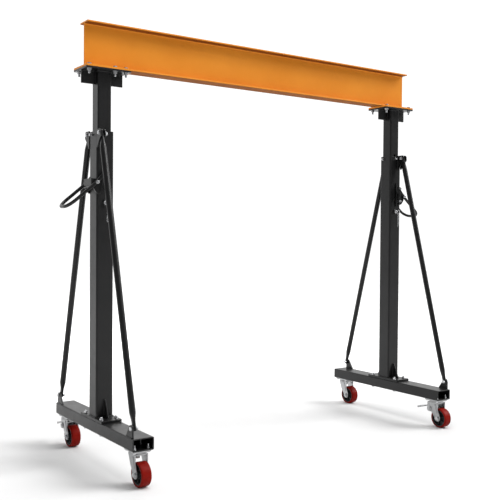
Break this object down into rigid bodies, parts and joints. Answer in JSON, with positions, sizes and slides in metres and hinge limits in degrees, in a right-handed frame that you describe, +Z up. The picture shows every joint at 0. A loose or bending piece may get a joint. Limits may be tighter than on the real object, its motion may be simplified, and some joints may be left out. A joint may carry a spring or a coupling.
{
  "type": "portable gantry crane",
  "caption": "Height-adjustable steel gantry: I-beam runway on telescoping posts with braced base beams and swivel casters.",
  "frame": {"origin": "on the floor, under the centre of the whole crane's bounding box", "axes": "+X along the beam, +Y across it, +Z up"},
  "size_m": [2.689, 1.1556, 2.432],
  "materials": {
    "orange_paint": "semi-gloss enamel",
    "black_paint": "satin powder coat",
    "zinc_plate": "zinc plated pressed steel",
    "bright_steel": "bright zinc fasteners",
    "wheel_core": "painted casting",
    "red_tread": "moulded polyurethane"
  },
  "bodies": {
    "left_leg": {"base_beam_left": "black_paint", "brace_bolts_left": "bright_steel", "brace_brackets_left": "black_paint", "brace_far_left": "black_paint", "brace_near_left": "black_paint", "caster_bolts_left": "bright_steel", "caster_plates_left": "zinc_plate", "foot_bolts_left": "bright_steel", "foot_plate_left": "black_paint", "guide_screws_left": "bright_steel", "lever_bracket_left": "black_paint", "lever_pivot_left": "bright_steel", "outer_post_left": "black_paint"},
    "upper": {"beam": "orange_paint", "beam_end_plates": "orange_paint", "head_bolts": "bright_steel", "inner_mast_left": "black_paint", "inner_mast_right": "black_paint", "post_heads": "black_paint"},
    "right_leg": {"base_beam_right": "black_paint", "brace_bolts_right": "bright_steel", "brace_brackets_right": "black_paint", "brace_far_right": "black_paint", "brace_near_right": "black_paint", "caster_bolts_right": "bright_steel", "caster_plates_right": "zinc_plate", "foot_bolts_right": "bright_steel", "foot_plate_right": "black_paint", "guide_screws_right": "bright_steel", "lever_bracket_right": "black_paint", "lever_pivot_right": "bright_steel", "outer_post_right": "black_paint"},
    "caster_far_left": {"axle_far_left": "bright_steel", "fork_far_left": "zinc_plate"},
    "caster_far_right": {"axle_far_right": "bright_steel", "fork_far_right": "zinc_plate"},
    "caster_near_left": {"axle_near_left": "bright_steel", "fork_near_left": "zinc_plate"},
    "caster_near_right": {"axle_near_right": "bright_steel", "fork_near_right": "zinc_plate"},
    "pedal_far_left": {"brake_pedal_far_left": "zinc_plate"},
    "pedal_near_right": {"brake_pedal_near_right": "zinc_plate"},
    "lever_left": {"lifting_lever_left": "black_paint"},
    "lever_right": {"lifting_lever_right": "black_paint"},
    "links_left": {"lifting_links_left": "black_paint"},
    "links_right": {"lifting_links_right": "black_paint"},
    "pin_far_left": {"lock_pin_far_left": "bright_steel"},
    "pin_far_right": {"lock_pin_far_right": "bright_steel"},
    "pin_near_left": {"lock_pin_near_left": "bright_steel", "pin_chain_left": "bright_steel"},
    "pin_near_right": {"lock_pin_near_right": "bright_steel", "pin_chain_right": "bright_steel"},
    "wheel_far_left": {"wheel_core_far_left": "wheel_core", "wheel_tread_far_left": "red_tread"},
    "wheel_far_right": {"wheel_core_far_right": "wheel_core", "wheel_tread_far_right": "red_tread"},
    "wheel_near_left": {"wheel_core_near_left": "wheel_core", "wheel_tread_near_left": "red_tread"},
    "wheel_near_right": {"wheel_core_near_right": "wheel_core", "wheel_tread_near_right": "red_tread"}
  },
  "joints": [
    {"name": "height_left", "type": "slide", "parent": "left_leg", "child": "upper", "axis": [0, 0, 1], "range_m": [0, 1.1]},
    {"name": "height_right", "type": "slide", "parent": "upper", "child": "right_leg", "axis": [0, 0, -1], "range_m": [0, 1.1]},
    {"name": "lever_left", "type": "hinge", "parent": "left_leg", "child": "lever_left", "pos_m": [-1.173, -0.01825, 1.5565], "axis": [0, 1, 0], "range_deg": [0, 40]},
    {"name": "links_left", "type": "hinge", "parent": "lever_left", "child": "links_left", "pos_m": [-1.125, -0.01825, 1.611], "axis": [0, 1, 0], "range_deg": [-20, 20]},
    {"name": "lock_pin_near_left", "type": "slide", "parent": "left_leg", "child": "pin_near_left", "axis": [0, -1, 0], "range_m": [0, 0.06]},
    {"name": "swivel_near_left", "type": "hinge", "parent": "left_leg", "child": "caster_near_left", "pos_m": [-1.113, -0.47025, 0.15], "axis": [0, 0, 1], "continuous": true},
    {"name": "wheel_near_left", "type": "hinge", "parent": "caster_near_left", "child": "wheel_near_left", "pos_m": [-1.113, -0.51425, 0.0635], "axis": [1, 0, 0], "continuous": true},
    {"name": "lock_pin_far_left", "type": "slide", "parent": "left_leg", "child": "pin_far_left", "axis": [0, 1, 0], "range_m": [0, 0.06]},
    {"name": "swivel_far_left", "type": "hinge", "parent": "left_leg", "child": "caster_far_left", "pos_m": [-1.113, 0.43375, 0.15], "axis": [0, 0, 1], "continuous": true},
    {"name": "wheel_far_left", "type": "hinge", "parent": "caster_far_left", "child": "wheel_far_left", "pos_m": [-1.113, 0.38975, 0.0635], "axis": [1, 0, 0], "continuous": true},
    {"name": "brake_pedal_far_left", "type": "hinge", "parent": "caster_far_left", "child": "pedal_far_left", "pos_m": [-1.113, 0.45975, 0.117], "axis": [-1, 0, 0], "range_deg": [0, 14]},
    {"name": "lever_right", "type": "hinge", "parent": "right_leg", "child": "lever_right", "pos_m": [1.173, -0.01825, 1.5565], "axis": [0, -1, 0], "range_deg": [0, 40]},
    {"name": "links_right", "type": "hinge", "parent": "lever_right", "child": "links_right", "pos_m": [1.125, -0.01825, 1.611], "axis": [0, -1, 0], "range_deg": [-20, 20]},
    {"name": "lock_pin_near_right", "type": "slide", "parent": "right_leg", "child": "pin_near_right", "axis": [0, -1, 0], "range_m": [0, 0.06]},
    {"name": "swivel_near_right", "type": "hinge", "parent": "right_leg", "child": "caster_near_right", "pos_m": [1.113, -0.47025, 0.15], "axis": [0, 0, 1], "continuous": true},
    {"name": "wheel_near_right", "type": "hinge", "parent": "caster_near_right", "child": "wheel_near_right", "pos_m": [1.113, -0.51425, 0.0635], "axis": [1, 0, 0], "continuous": true},
    {"name": "brake_pedal_near_right", "type": "hinge", "parent": "caster_near_right", "child": "pedal_near_right", "pos_m": [1.113, -0.44425, 0.117], "axis": [-1, 0, 0], "range_deg": [0, 14]},
    {"name": "lock_pin_far_right", "type": "slide", "parent": "right_leg", "child": "pin_far_right", "axis": [0, 1, 0], "range_m": [0, 0.06]},
    {"name": "swivel_far_right", "type": "hinge", "parent": "right_leg", "child": "caster_far_right", "pos_m": [1.113, 0.43375, 0.15], "axis": [0, 0, 1], "continuous": true},
    {"name": "wheel_far_right", "type": "hinge", "parent": "caster_far_right", "child": "wheel_far_right", "pos_m": [1.113, 0.38975, 0.0635], "axis": [1, 0, 0], "continuous": true}
  ],
  "couplings": [
    {"joint": "height_right", "follows": "height_left", "ratio": 1}
  ]
}
